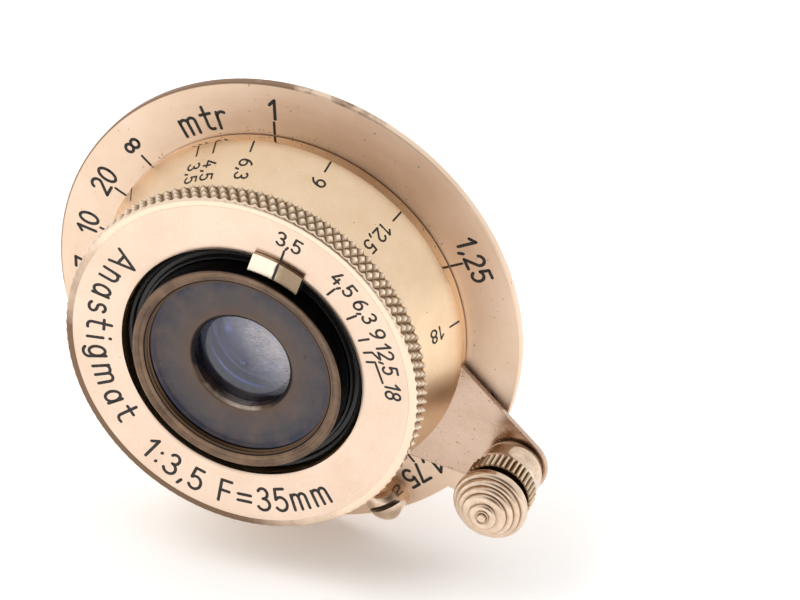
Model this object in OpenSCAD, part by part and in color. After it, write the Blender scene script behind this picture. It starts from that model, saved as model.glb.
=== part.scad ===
// Screw-mount 35 mm wide-angle lens with a fixed distance-scale disc, a turning
// depth-of-field ring with a locking focus lever, and an iris set from the front.
// Every module is drawn along a local +Z optical axis that points out of the front
// of the lens, with the mount seat at height 0, and along_axis() lays it down so
// that the front looks along -Y and +Z is up.

/* [Mount] */
// Outer radius of the mount thread
thread_r = 19.5; // [19.3:0.05:19.7]
// Pitch of the mount thread
thread_pitch = 0.977; // [0.9:0.001:1]
// Length of the mount thread behind the seat
thread_len = 4; // [3.6:0.1:4.4]
// Radius of the seat that meets the camera
seat_r = 22; // [21:0.1:22.5]
// Distance that the rangefinder cam stands behind the seat
cam_reach = 7.47; // [7.3:0.01:7.6]

/* [Distance disc] */
// Outer radius of the disc that carries the distance scale
disc_r = 24; // [23.8:0.05:24.3]
// Height of the back of the disc above the seat
disc_back = 0.9; // [0.8:0.05:1]
// Height of the front of the disc above the seat
disc_front = 1.8; // [1.75:0.05:1.85]
// Direction of the infinity position of the lever
infinity_deg = -34.8; // [-36:0.1:-34]
// Direction of the end stop post
stop_deg = -60.4; // [-60.4:0.1:-59]
// Distance of the end stop post from the axis
stop_reach = 22.1; // [22.1:0.05:22.15]
// Radius of the end stop post
stop_r = 1.85; // [1.6:0.05:1.85]
// Height of the top of the end stop post
stop_top = 4.9; // [4.5:0.1:5.2]

/* [Depth ring and lever] */
// Outer radius of the depth-of-field ring at its foot
ring_r = 18.62; // [18.5:0.02:18.8]
// Height of the top of the ring's upright edge
ring_edge = 3.1; // [3:0.05:3.3]
// Radius of the cone at its front end
cone_r = 15.4; // [15.2:0.1:16]
// Height of the front end of the cone
cone_top = 10.3; // [10:0.1:10.4]
// Direction of the lever at rest
lever_deg = -26.8; // [-27:0.1:-25]
// Distance of the knob from the optical axis
lever_reach = 26.9; // [26.5:0.1:27.3]
// Radius of the lever's round end
lever_end_r = 3.2; // [3.1:0.1:3.3]
// Distance of each lever edge from the optical axis
lever_edge = 11.3; // [10.8:0.05:11.3]
// Height of the underside of the lever
lever_low = 2.2; // [2.15:0.05:2.3]
// Height of the top of the lever
lever_top = 2.8; // [2.7:0.05:2.9]

/* [Lock button] */
// Travel of the lock button
button_travel = 0.8; // [0.7:0.05:0.85]
// Radius of the button's cap
button_r = 3.65; // [3.4:0.05:3.7]
// Height of the underside of the button's cap
button_low = 9.1; // [9.05:0.05:9.3]
// Height of the button's nub
button_top = 12.5; // [12.4:0.1:12.8]
// Radius of the serrated band of the collar
collar_r = 3.45; // [3.3:0.05:3.5]
// Height of the top of the collar
collar_top = 8.2; // [8:0.1:8.2]

/* [Front] */
// Radius over the knurling, which takes slip-on accessories
front_r = 18; // [17.9:0.05:18.1]
// Height of the back of the knurled ring
knurl_back = 10.76; // [10.7:0.02:11]
// Height of the front edge of the knurled ring
front_top = 13.52; // [13.4:0.02:13.7]
// Inner radius of the engraved face
face_in_r = 12.26; // [12.2:0.02:12.4]
// Height of the inner edge of the engraved face
face_in_top = 12.98; // [12.9:0.02:13.1]
// Radius of the brown front bezel
bezel_r = 10.65; // [10.6:0.05:10.7]
// Height of the front bezel
bezel_top = 14.19; // [14:0.01:14.3]
// Direction of the aperture tab when fully open
tab_deg = 70.4; // [68:0.2:72]

/* [Iris] */
// Number of iris blades
blade_count = 6; // [6]
// Distance of the blade pivots from the axis
pivot_reach = 8.7; // [8.6:0.05:8.8]
// Turn of the aperture ring from open to fully closed
aperture_turn = 56.4; // [56:0.1:57]
// Turn of a blade from open to fully closed
blade_turn = 28.8; // [28:0.1:29]

/* [Hidden] */
$fn = 96;

// Small overlap that makes a cut run clear past a face
past = 0.01;
// Mount tube and helicoid
thread_depth = 0.58;
crest_flat = 0.2;
thread_root_at = 0.62;
thread_flank_end = 0.42;
thread_outline_len = 1.04;
thread_relief = 0.9;
mount_bore_r = 15;
helicoid_r = 14.92;
helicoid_low = -3.1;
helicoid_high = 1.7;
helicoid_groove = 0.45;
flange_screw_reach = 17.2;
flange_screw_r = 0.5;
flange_head_r = 0.95;
flange_head_depth = 0.5;
screw_play = 0.02;
// Straight guide of the rangefinder cam
key_w = 1.6;
key_reach = 14.1;
key_end = 18.2;
key_depth = 1;
key_screw_reach = 16.9;
key_screw_r = 0.5;
key_screw_depth = 1.4;
key_screw_head_r = 0.75;
key_screw_head = 0.4;
cam_outer_r = 14.8;
cam_slot_end = -6.6;
neck_r = 13;
neck_end_r = 12.5;
neck_gap = 0.06;
retainer_r = 13.9;
retainer_back = -7.1;
retainer_front = -6.4;
// Barrel and optical head
rear_bore_r = 12;
barrel_r = 14.5;
barrel_flange_r = 17.9;
barrel_flange_top = 4.2;
nose_r = 13.9;
nose_top = 12.4;
head_r = 10.6;
head_bore_r = 9.7;
head_top = 10.1;
head_shoulder = 1;
well_floor = 9.3;
well_r = 12.25;
lever_screw_reach = 16.4;
lever_screw_deg = 8;
lever_screw_r = 0.4;
lever_screw_head_r = 0.75;
lever_screw_head = 0.3;
// Depth ring
ring_foot = 1.95;
// Infinity catch in the ear of the disc
catch_seat_r = 1;
catch_gate = 0.62;
catch_mouth = 1.05;
catch_mouth_deg = 8;
catch_open_deg = 14;
pin_head_r = 0.9;
pin_head_low = 0.7;
pin_head_top = 1.55;
pin_neck_r = 0.5;
pin_top = 7.8;
// Knob
knob_bore_r = 2.15;
button_shaft_r = 2.1;
knob_floor = 3.6;
shaft_low = 5.6;
spring_r = 1.35;
spring_wire_r = 0.15;
spring_turns = 3.5;
spring_rings_per_turn = 16;
// Aperture ring and iris
aperture_in_r = 10.75;
aperture_out_r = 12.13;
aperture_top = 12;
tab_in_r = 11;
tab_out_r = 12.95;
tab_half_w = 2.57;
tab_low = 13.1;
tab_top = 13.5;
drive_low = 9.45;
drive_high = 10;
drive_in_r = 6;
drive_out_r = 9.6;
drive_screw_r = 0.3;
drive_screw_deg = 28;
base_low = 7.9;
base_high = 8.3;
blade_in_r = 5.3;
blade_out_r = 8;
blade_span = 126;
blade_t = 0.12;
blade_step = 0.17;
blade_pin_r = 0.22;
blade_pin_deg = 12;
blade_stud_r = 0.25;
slot_half_w = 0.33;
slot_steps = 12;
// Glass and cells
cell_r = 9.68;
front_glass_r = 5.4;
front_glass_top = 12.35;
front_glass_back = 10.15;
front_curve_r = 16.5;
middle_glass_r = 5;
rear_glass_r = 5.5;

// Lays a part drawn along local +Z down, with its front towards -Y
module along_axis() {
  rotate([90, 0, 0]) children();
}

// A tube from z0 to z1
module tube(r_out, r_in, z0, z1) {
  translate([0, 0, z0]) difference() {
    cylinder(r = r_out, h = z1 - z0);
    translate([0, 0, -past]) cylinder(r = r_in, h = z1 - z0 + 2 * past);
  }
}

// A disc from z0 to z1
module rod(r, z0, z1) {
  translate([0, 0, z0]) cylinder(r = r, h = z1 - z0);
}

// A slice of a tube between two angles
module sector(r_out, r_in, z0, z1, a0, a1) {
  rotate([0, 0, a0]) rotate_extrude(angle = a1 - a0)
    translate([r_in, z0]) square([r_out - r_in, z1 - z0]);
}

// Outline of the lever, and of the disc's ear beneath it: a round end at the reach,
// with two straight edges that touch it and pass the axis at the edge distance
module arm_outline(reach, end_r, edge) {
  taper = asin((edge - end_r) / reach);
  side = [sin(taper), cos(taper)];
  translate([reach, 0]) circle(r = end_r);
  polygon([
    edge * side,
    [reach + end_r * side[0], end_r * side[1]],
    [reach + end_r * side[0], -end_r * side[1]],
    [edge * side[0], -edge * side[1]]
  ]);
}

// Screw with a countersunk head at the top
module countersunk_screw(shank_r, head_r, low, head_low, top) {
  rod(shank_r, low, head_low);
  translate([0, 0, head_low]) cylinder(r1 = shank_r, r2 = head_r, h = top - head_low);
}

// Puts children at each of the four flange screws
module at_flange_screws() {
  for (a = [0 : 90 : 270])
    rotate([0, 0, a]) translate([flange_screw_reach, 0, 0]) children();
}

// Puts children at the two lever screws
module at_lever_screws() {
  for (side = [-1, 1])
    rotate([0, 0, lever_deg + side * lever_screw_deg])
      translate([lever_screw_reach, 0, 0]) children();
}

// Half outline of the mount thread, as level grooves
function thread_outline(n) = concat(
  [[mount_bore_r, -thread_len], [thread_r - thread_depth, -thread_len]],
  [for (i = [n - 1 : -1 : 0], p = [
      [thread_r - thread_depth, -thread_root_at], [thread_r, -crest_flat],
      [thread_r, 0], [thread_r - thread_depth, thread_flank_end]
    ]) [p[0], -thread_relief - i * thread_pitch + p[1] * thread_pitch / thread_outline_len]],
  [[thread_r - thread_depth, 0], [mount_bore_r, 0]]
);

module mount_tube() {
  color("silver") along_axis() difference() {
    union() {
      rotate_extrude() polygon(thread_outline(3));
      tube(seat_r, mount_bore_r, 0, disc_back);
    }
    at_flange_screws() rod(flange_screw_r, 0.2, disc_back + past);
    rotate([0, 0, -90]) translate([key_screw_reach, 0, 0])
      rod(key_screw_r, -thread_len - past, -thread_len + key_screw_depth);
  }
}

module distance_disc() {
  color("wheat") along_axis() difference() {
    union() {
      rotate_extrude() polygon([
        [mount_bore_r, disc_back], [disc_r - 0.1, disc_back], [disc_r, disc_back + 0.1],
        [disc_r, disc_front - 0.12], [disc_r - 0.12, disc_front], [mount_bore_r, disc_front]
      ]);
      rotate([0, 0, infinity_deg]) translate([0, 0, disc_back]) linear_extrude(disc_front - disc_back)
        difference() {
          arm_outline(lever_reach, lever_end_r, lever_edge);
          circle(r = disc_r - 1);
        }
    }
    rotate([0, 0, infinity_deg]) {
      translate([lever_reach, 0, 0]) rod(catch_seat_r, 0, 3);
      sector(lever_reach + catch_gate, lever_reach - catch_gate, 0, 3, 0, catch_mouth_deg);
      sector(lever_reach + catch_mouth, lever_reach - catch_mouth, 0, 3, catch_mouth_deg, catch_open_deg);
      rotate([0, 0, catch_mouth_deg]) translate([lever_reach, 0, 0]) rod(catch_mouth, 0, 3);
    }
    rotate([0, 0, stop_deg]) translate([stop_reach, 0, 0]) rod(stop_r / 2, 0, 3);
    at_flange_screws() countersunk_screw(flange_screw_r, flange_head_r + screw_play, disc_back - past,
      disc_front - flange_head_depth, disc_front + past);
  }
}

module end_stop_screw() {
  dome = 0.9;
  slot_w = 0.55;
  slot_depth = 1;
  color("silver") along_axis() rotate([0, 0, stop_deg]) translate([stop_reach, 0, 0])
    difference() {
      union() {
        rod(stop_r / 2, disc_back, disc_front + past);
        rod(stop_r, disc_front, stop_top - dome);
        intersection() {
          rod(stop_r, stop_top - dome, stop_top);
          translate([0, 0, stop_top - (stop_r * stop_r + dome * dome) / (2 * dome)])
            sphere(r = (stop_r * stop_r + dome * dome) / (2 * dome));
        }
      }
      translate([-slot_w / 2, -2 * stop_r, stop_top - slot_depth]) cube([slot_w, 4 * stop_r, 3]);
    }
}

module flange_screws() {
  color("silver") along_axis() at_flange_screws()
    countersunk_screw(flange_screw_r, flange_head_r, 0.2, disc_front - flange_head_depth, disc_front);
}

module guide_key() {
  color("goldenrod") along_axis() rotate([0, 0, -90]) difference() {
    translate([key_reach, -key_w / 2, -thread_len - key_depth])
      cube([key_end - key_reach, key_w, key_depth]);
    translate([key_screw_reach, 0, 0]) rod(key_screw_r, -6, 0);
  }
}

module key_screw() {
  color("silver") along_axis() rotate([0, 0, -90]) translate([key_screw_reach, 0, 0]) {
    rod(key_screw_r, -thread_len - key_depth, -thread_len + key_screw_depth);
    rod(key_screw_head_r, -thread_len - key_depth - key_screw_head, -thread_len - key_depth);
  }
}

module rangefinder_cam_ring() {
  inner = neck_r + neck_gap;
  color("goldenrod") along_axis() difference() {
    rotate_extrude() polygon([
      [retainer_r + 0.1, -cam_reach], [cam_outer_r - 0.2, -cam_reach],
      [cam_outer_r, -cam_reach + 0.2], [cam_outer_r, helicoid_low - 0.05],
      [inner, helicoid_low - 0.05], [inner, retainer_front + 0.05],
      [retainer_r + 0.1, retainer_front + 0.05]
    ]);
    rotate([0, 0, -90]) translate([neck_r - 1, -key_w / 2 - 0.03, cam_slot_end])
      cube([4, key_w + 0.06, 6]);
  }
}

// Half outline of the barrel's screw, as level grooves cut in its outside
module helicoid_grooves() {
  for (z = [helicoid_low + 0.6 : 1.1 : helicoid_high - 0.6])
    tube(helicoid_r + 1, helicoid_r - helicoid_groove, z, z + 0.4);
}

module helicoid_barrel() {
  color("goldenrod") along_axis() difference() {
    rotate_extrude() polygon([
      [rear_bore_r, retainer_back], [neck_end_r, retainer_back], [neck_end_r, retainer_front],
      [neck_r, retainer_front], [neck_r, helicoid_low], [helicoid_r, helicoid_low],
      [helicoid_r, helicoid_high], [barrel_r, helicoid_high], [barrel_r, lever_top],
      [barrel_flange_r, lever_top], [barrel_flange_r, barrel_flange_top],
      [barrel_r, barrel_flange_top], [barrel_r, cone_top], [nose_r, cone_top],
      [nose_r, nose_top], [well_r, nose_top], [well_r, well_floor],
      [head_r, well_floor], [head_r, head_shoulder], [rear_bore_r, head_shoulder]
    ]);
    helicoid_grooves();
    at_lever_screws() rod(lever_screw_r, lever_top - past, barrel_flange_top - lever_screw_r);
  }
}

module cam_retainer() {
  color("goldenrod") along_axis() tube(retainer_r, neck_end_r, retainer_back, retainer_front);
}

module depth_scale_ring() {
  color("tan") along_axis() difference() {
    rotate_extrude() polygon([
      [barrel_flange_r, ring_foot], [ring_r, ring_foot], [ring_r, ring_edge],
      [cone_r, cone_top], [barrel_r, cone_top], [barrel_r, barrel_flange_top],
      [barrel_flange_r, barrel_flange_top]
    ]);
    rotate([0, 0, lever_deg]) translate([0, 0, ring_foot - 1])
      linear_extrude(lever_top - ring_foot + 1) arm_outline(lever_reach, lever_end_r, lever_edge);
  }
}

module focus_lever() {
  color("wheat") along_axis() difference() {
    rotate([0, 0, lever_deg]) translate([0, 0, lever_low]) linear_extrude(lever_top - lever_low)
      difference() {
        arm_outline(lever_reach, lever_end_r, lever_edge);
        circle(r = barrel_r + 0.3);
        translate([lever_reach, 0]) circle(r = pin_head_r - 0.1);
      }
    at_lever_screws() rotate([180, 0, 0])
      countersunk_screw(lever_screw_r, lever_screw_head_r, -lever_top - past,
        -lever_low - lever_screw_head, -lever_low + past);
  }
}

module lever_screws() {
  color("silver") along_axis() at_lever_screws() rotate([180, 0, 0])
    countersunk_screw(lever_screw_r, lever_screw_head_r, -barrel_flange_top + lever_screw_r,
      -lever_low - lever_screw_head, -lever_low);
}

// Puts children on the knob's own axis
module at_knob() {
  along_axis() rotate([0, 0, lever_deg]) translate([lever_reach, 0, 0]) children();
}

module knob_collar() {
  foot_r = 2.9;
  waist_r = 3.1;
  band_low = 6.3;
  color("silver") at_knob() difference() {
    rotate_extrude() polygon([
      [0, lever_top], [foot_r - 0.1, lever_top], [foot_r - 0.1, lever_top + 0.3],
      [foot_r, lever_top + 0.4], [waist_r, lever_top + 1.2], [waist_r, band_low - 0.4],
      [collar_r - 0.15, band_low - 0.1], [collar_r, band_low], [collar_r, collar_top - 0.2],
      [collar_r - 0.2, collar_top], [0, collar_top]
    ]);
    rod(knob_bore_r, knob_floor, collar_top + 1);
    rod(pin_neck_r + 0.06, lever_top - 1, knob_floor + 1);
  }
}

module lock_button() {
  nub_step_r = 1.3;
  nub_r = 0.4;
  color("silver") at_knob() difference() {
    rotate_extrude() polygon([
      [0, shaft_low], [button_shaft_r, shaft_low], [button_shaft_r, button_low],
      [button_r - 0.3, button_low], [button_r, button_low + 0.3], [button_r, button_top - 2.35],
      [button_r - 0.35, button_top - 2.15], [button_r - 0.4, button_top - 1.7],
      [button_r - 0.85, button_top - 1.5], [button_r - 0.9, button_top - 1.1],
      [button_r - 1.45, button_top - 0.9], [button_r - 1.5, button_top - 0.55],
      [nub_step_r, button_top - 0.4], [nub_step_r, button_top - 0.2], [nub_r, button_top - 0.25],
      [nub_r, button_top], [0, button_top]
    ]);
    rod(pin_neck_r, shaft_low - 1, pin_top);
  }
}

module latch_pin() {
  color("silver") at_knob() {
    rod(pin_head_r, pin_head_low, pin_head_top);
    rod(pin_neck_r, pin_head_top - past, pin_top);
  }
}

// Rings of points along the spring's wire, eight to a ring
function spring_ring(i) =
  let (a = 360 * i / spring_rings_per_turn,
       rise = (shaft_low - knob_floor - 2 * spring_wire_r) / (spring_turns * spring_rings_per_turn),
       z = knob_floor + spring_wire_r + rise * i)
  [for (k = [0 : 7]) let (r = spring_r + spring_wire_r * cos(45 * k))
    [r * cos(a), r * sin(a), z + spring_wire_r * sin(45 * k)]];

module button_spring() {
  last = spring_turns * spring_rings_per_turn;
  points = [for (i = [0 : last]) each spring_ring(i)];
  sides = [for (i = [0 : last - 1], k = [0 : 7])
    [8 * i + k, 8 * i + (k + 1) % 8, 8 * (i + 1) + (k + 1) % 8, 8 * (i + 1) + k]];
  ends = [[for (k = [7 : -1 : 0]) k], [for (k = [0 : 7]) 8 * last + k]];
  color("gray") at_knob() polyhedron(points, concat(sides, ends));
}

module front_ring() {
  color("wheat") along_axis() rotate_extrude() polygon([
    [nose_r, cone_top], [barrel_r, cone_top], [barrel_r, knurl_back],
    [front_r - 0.25, knurl_back], [front_r, knurl_back + 0.2], [front_r, front_top - 0.4],
    [front_r - 0.28, front_top - 0.03], [front_r - 0.87, front_top],
    [front_r - 0.92, front_top - 0.05], [face_in_r, face_in_top],
    [face_in_r, face_in_top - 0.5], [nose_r, face_in_top - 0.5]
  ]);
}

module head_tube() {
  color("dimgray") along_axis() difference() {
    tube(head_r, head_bore_r, 0, head_top);
    sector(head_r + 1, head_bore_r - 1, well_floor, head_top + 1,
      tab_deg + drive_screw_deg - aperture_turn - 4, tab_deg + drive_screw_deg + 4);
  }
}

module head_lock_ring() {
  color("dimgray") along_axis() tube(rear_bore_r - 0.1, head_r, 0, head_shoulder);
}

module aperture_ring() {
  color([0.1, 0.1, 0.1]) along_axis() difference() {
    union() {
      rotate_extrude() polygon([
        [aperture_in_r, well_floor + 0.05], [aperture_out_r, well_floor + 0.05],
        [aperture_out_r, aperture_top - 0.3], [11.85, aperture_top + 0.05],
        [11.6, aperture_top - 0.05], [11.45, aperture_top - 0.4], [11.1, aperture_top - 0.4],
        [10.95, aperture_top], [aperture_in_r, aperture_top]
      ]);
      intersection() {
        tube(aperture_out_r - 0.05, aperture_in_r, aperture_top - 0.6, tab_low);
        rotate([0, 0, tab_deg]) translate([0, -tab_half_w, 0]) cube([20, 2 * tab_half_w, 20]);
      }
    }
    rotate([0, 0, tab_deg + drive_screw_deg]) translate([0, 0, (drive_low + drive_high) / 2])
      rotate([0, 90, 0]) rod(drive_screw_r, 5, 15);
  }
}

module aperture_tab() {
  color("silver") along_axis() intersection() {
    tube(tab_out_r, tab_in_r, tab_low, tab_top);
    rotate([0, 0, tab_deg]) translate([0, -tab_half_w, 0]) cube([20, 2 * tab_half_w, 20]);
  }
}

module aperture_drive_screw() {
  color("silver") along_axis() rotate([0, 0, tab_deg + drive_screw_deg])
    translate([0, 0, (drive_low + drive_high) / 2]) rotate([0, 90, 0]) rod(drive_screw_r, 9.3, 12.05);
}

// Where a blade's drive pin stands, as [radius, angle], when the blade has turned by t
function pin_place(t) =
  let (arm = pivot_reach * [cos(blade_pin_deg) - 1, sin(blade_pin_deg)],
       x = pivot_reach + arm[0] * cos(t) - arm[1] * sin(t),
       y = arm[0] * sin(t) + arm[1] * cos(t))
  [norm([x, y]), atan2(y, x)];

// One edge of a drive slot, offset from the pin's path in the turning ring's own frame
function slot_edge(offset) = [for (i = [-1 : slot_steps + 1])
  let (share = i / slot_steps, place = pin_place(share * blade_turn),
       a = place[1] + share * aperture_turn, r = place[0] + offset)
  [r * cos(a), r * sin(a)]];

module iris_drive_ring() {
  inner = slot_edge(-slot_half_w);
  outer = slot_edge(slot_half_w);
  color("dimgray") along_axis() difference() {
    tube(drive_out_r, drive_in_r, drive_low, drive_high);
    for (i = [0 : blade_count - 1])
      rotate([0, 0, 360 * i / blade_count]) translate([0, 0, drive_low - 1]) linear_extrude(3)
        polygon(concat(inner, [for (k = [len(outer) - 1 : -1 : 0]) outer[k]]));
    rotate([0, 0, tab_deg + drive_screw_deg]) translate([0, 0, (drive_low + drive_high) / 2])
      rotate([0, 90, 0]) rod(drive_screw_r, 9.3, 15);
  }
}

module iris_base() {
  color("dimgray") along_axis() difference() {
    tube(cell_r, blade_in_r, base_low, base_high);
    for (i = [0 : blade_count - 1])
      rotate([0, 0, 360 * i / blade_count]) translate([pivot_reach, 0, 0])
        rod(blade_stud_r + 0.05, base_low - 1, base_high + 1);
  }
}

// One blade: a thin crescent with a lug, a pivot stud below and a drive pin above
module iris_blade(i) {
  low = base_high + 0.05 + i * blade_step;
  color([0.2, 0.2, 0.22]) along_axis() rotate([0, 0, 360 * i / blade_count]) {
    sector(blade_out_r, blade_in_r, low, low + blade_t, -3, blade_span);
    sector(9.25, blade_out_r - 0.5, low, low + blade_t, -3, blade_pin_deg + 3);
    translate([pivot_reach, 0, 0]) rod(blade_stud_r, base_low, low + past);
    rotate([0, 0, blade_pin_deg]) translate([pivot_reach, 0, 0])
      rod(blade_pin_r, low + blade_t - past, drive_high);
  }
}

module front_bezel() {
  color("saddlebrown") along_axis() rotate_extrude() polygon([
    [9.2, head_top], [bezel_r, head_top], [bezel_r, bezel_top - 0.1],
    [bezel_r - 0.12, bezel_top], [9.5, bezel_top - 0.28], [9.26, bezel_top - 0.36],
    [9.26, bezel_top - 0.5], [9.38, bezel_top - 0.56], [9.24, bezel_top - 0.66],
    [9.34, bezel_top - 0.74], [9.2, bezel_top - 0.84]
  ]);
}

module front_cell() {
  plate_edge = 9.18;
  seat = 11.47;
  color("dimgray") along_axis() rotate_extrude() polygon([
    [front_glass_r, drive_high + 0.1], [plate_edge, drive_high + 0.1], [plate_edge, 13.15],
    [8.9, 13.05], [6.2, 12.86], [5.3, 12.84], [4.9, 12.55], [4.9, seat + 0.18],
    [front_glass_r, seat]
  ]);
}

module front_element() {
  color("lightsteelblue") along_axis() intersection() {
    rod(front_glass_r - 0.02, front_glass_back, front_glass_top);
    translate([0, 0, front_glass_top - front_curve_r]) sphere(r = front_curve_r);
  }
}

module middle_cell() {
  color("dimgray") along_axis() rotate_extrude() polygon([
    [middle_glass_r, 6.25], [cell_r, 6.25], [cell_r, base_low], [4.6, base_low],
    [4.6, 7.8], [middle_glass_r, 7.8]
  ]);
}

module middle_element() {
  front_curve = 18;
  back_curve = 13;
  color("lightsteelblue") along_axis() difference() {
    rod(middle_glass_r - 0.02, 6.3, 7.75);
    translate([0, 0, 7.4 + front_curve]) sphere(r = front_curve);
    translate([0, 0, 6.85 - back_curve]) sphere(r = back_curve);
  }
}

module rear_cell() {
  color("dimgray") along_axis() rotate_extrude() polygon([
    [rear_glass_r, 1.4], [cell_r, 1.4], [cell_r, 6.25], [4.9, 6.25], [4.9, 5.5],
    [rear_glass_r, 5.5]
  ]);
}

module rear_inner_element() {
  front_curve = 40;
  joint_curve = 14;
  color("lightsteelblue") along_axis() difference() {
    rod(rear_glass_r - 0.02, 2.6, 5.45);
    translate([0, 0, 5.2 + front_curve]) sphere(r = front_curve);
    translate([0, 0, 4.4 - joint_curve]) sphere(r = joint_curve);
  }
}

module rear_outer_element() {
  joint_curve = 14;
  back_curve = 16;
  color("lightsteelblue") along_axis() intersection() {
    rod(rear_glass_r - 0.02, 1.5, 5);
    translate([0, 0, 4.4 - joint_curve]) sphere(r = joint_curve);
    translate([0, 0, 1.5 + back_curve]) sphere(r = back_curve);
  }
}

module rear_retainer() {
  color("dimgray") along_axis() tube(rear_glass_r, 4.8, 0.95, 1.4);
}

mount_tube();
distance_disc();
end_stop_screw();
flange_screws();
guide_key();
key_screw();
rangefinder_cam_ring();
helicoid_barrel();
cam_retainer();
depth_scale_ring();
focus_lever();
lever_screws();
knob_collar();
lock_button();
latch_pin();
button_spring();
front_ring();
head_tube();
head_lock_ring();
aperture_ring();
aperture_tab();
aperture_drive_screw();
iris_drive_ring();
iris_base();
iris_blade(0);  // iris_blade_1
iris_blade(1);  // iris_blade_2
iris_blade(2);  // iris_blade_3
iris_blade(3);  // iris_blade_4
iris_blade(4);  // iris_blade_5
iris_blade(5);  // iris_blade_6
front_bezel();
front_cell();
front_element();
middle_cell();
middle_element();
rear_cell();
rear_inner_element();
rear_outer_element();
rear_retainer();
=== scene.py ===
"""Looks of the small nickel-plated screw-mount lens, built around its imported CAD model.

Lens coordinates are (radius in mm, direction in degrees, height in mm). The direction
counts anticlockwise from +X as seen from the front, and the height runs forward from
the mount seat, which is along -Y.
"""

import math
import random

import bpy
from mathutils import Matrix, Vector


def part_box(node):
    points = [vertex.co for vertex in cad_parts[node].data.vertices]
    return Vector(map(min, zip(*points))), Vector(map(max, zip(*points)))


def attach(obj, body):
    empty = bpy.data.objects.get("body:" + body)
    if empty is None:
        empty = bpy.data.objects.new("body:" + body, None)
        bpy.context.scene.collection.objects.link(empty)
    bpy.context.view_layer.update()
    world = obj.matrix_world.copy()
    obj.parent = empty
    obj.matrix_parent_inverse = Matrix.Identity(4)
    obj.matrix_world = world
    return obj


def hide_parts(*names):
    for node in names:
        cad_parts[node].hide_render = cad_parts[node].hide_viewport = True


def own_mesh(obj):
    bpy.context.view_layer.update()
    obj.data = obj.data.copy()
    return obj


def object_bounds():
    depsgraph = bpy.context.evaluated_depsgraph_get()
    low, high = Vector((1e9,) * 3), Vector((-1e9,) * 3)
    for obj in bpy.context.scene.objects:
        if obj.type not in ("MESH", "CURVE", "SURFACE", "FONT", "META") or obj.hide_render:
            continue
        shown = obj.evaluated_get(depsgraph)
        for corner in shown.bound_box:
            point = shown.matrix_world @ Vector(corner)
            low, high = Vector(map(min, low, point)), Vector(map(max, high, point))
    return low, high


MM = 0.001

# Camera: the point it looks at and its distance, in metres, and its direction
LOOK_AT = Vector((0.0095, 0.0043, -0.0008))
CAMERA_DISTANCE = 0.3405
CAMERA_AZIMUTH = 20.83
CAMERA_ELEVATION = 31.65
CAMERA_LENS = 157.5
SENSOR_WIDTH = 36

# Directions on the lens, in degrees
INFINITY_AT = 137.0
SCALE_TURN = 315.3
DEPTH_INDEX_AT = 145.0
TAB_AT = 70.4
LEVER_AT = -26.8

# Knurling and serrations: how many go round, their depth, and the rise of one knurl in mm
KNURL_COUNT = 112
KNURL_DEPTH = 0.42
KNURL_PITCH = 1.75
SERRATIONS = 38
SERRATION_DEPTH = 0.27

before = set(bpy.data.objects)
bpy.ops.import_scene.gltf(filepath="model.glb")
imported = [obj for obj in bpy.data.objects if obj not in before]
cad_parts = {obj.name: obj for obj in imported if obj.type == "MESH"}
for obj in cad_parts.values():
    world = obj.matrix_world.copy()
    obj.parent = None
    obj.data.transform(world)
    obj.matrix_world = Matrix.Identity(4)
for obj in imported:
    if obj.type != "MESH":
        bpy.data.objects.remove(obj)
cad_low, cad_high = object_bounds()


def heights(node):
    """Lowest and highest height of a CAD node, in mm."""
    low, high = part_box(node)
    return -high.y / MM, -low.y / MM


def reach(node):
    """Outer radius of a round CAD node, in mm."""
    low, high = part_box(node)
    return (high.x - low.x) / 2 / MM


# Sizes taken from the CAD nodes, in mm
DISC_TOP = heights("distance_disc")[1]
RING_FOOT, CONE_TOP = heights("depth_scale_ring")
RING_R = reach("depth_scale_ring")
KNURL_BACK, FRONT_TOP = CONE_TOP + 0.25, heights("front_ring")[1]
FRONT_R = reach("front_ring")
LEVER_LOW, LEVER_TOP = heights("focus_lever")
TAB_TOP = heights("aperture_tab")[1]
KNOB_LOW, COLLAR_TOP = heights("knob_collar")
COLLAR_R = reach("knob_collar")

# The knob's own axis, in metres
knob_low, knob_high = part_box("knob_collar")
KNOB_AXIS = Vector(((knob_low.x + knob_high.x) / 2, 0, (knob_low.z + knob_high.z) / 2))

# The lever: how far out its round end is centred, the end's radius, and how far each
# straight edge passes from the optical axis
LEVER_REACH = math.hypot(KNOB_AXIS.x, KNOB_AXIS.z) / MM
LEVER_END_R = 3.2
LEVER_EDGE = 11.3

# The depth-scale ring: the height where its foot ends, the radius at the cone's top, and
# the radius lost for each mm of height
RING_EDGE = 3.1
CONE_END_R = 15.4
CONE_SLOPE = (RING_R - CONE_END_R) / (CONE_TOP - RING_EDGE)

# The dished face: radius and height of its outer and inner edges
FACE_OUT_R, FACE_IN_R = 17.08, 12.26
FACE_OUT_TOP, FACE_IN_TOP = FRONT_TOP - 0.05, FRONT_TOP - 0.54


def cone_radius(height):
    """Radius of the depth-scale cone at a height."""
    return RING_R - CONE_SLOPE * (height - RING_EDGE)


def place(radius, degrees, height):
    """A point of the lens as a Blender position in metres."""
    turn = math.radians(degrees)
    return Vector((radius * math.cos(turn), -height, radius * math.sin(turn))) * MM


# ---------------------------------------------------------------- meshes


def mesh_object(name, points, faces, sharp=30):
    """A mesh object with smooth shading that breaks at edges sharper than the angle."""
    mesh = bpy.data.meshes.new(name)
    mesh.from_pydata(points, [], faces)
    mesh.validate()
    mesh.shade_smooth()
    mesh.set_sharp_from_angle(angle=math.radians(sharp))
    piece = bpy.data.objects.new(name, mesh)
    bpy.context.scene.collection.objects.link(piece)
    return piece


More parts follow.
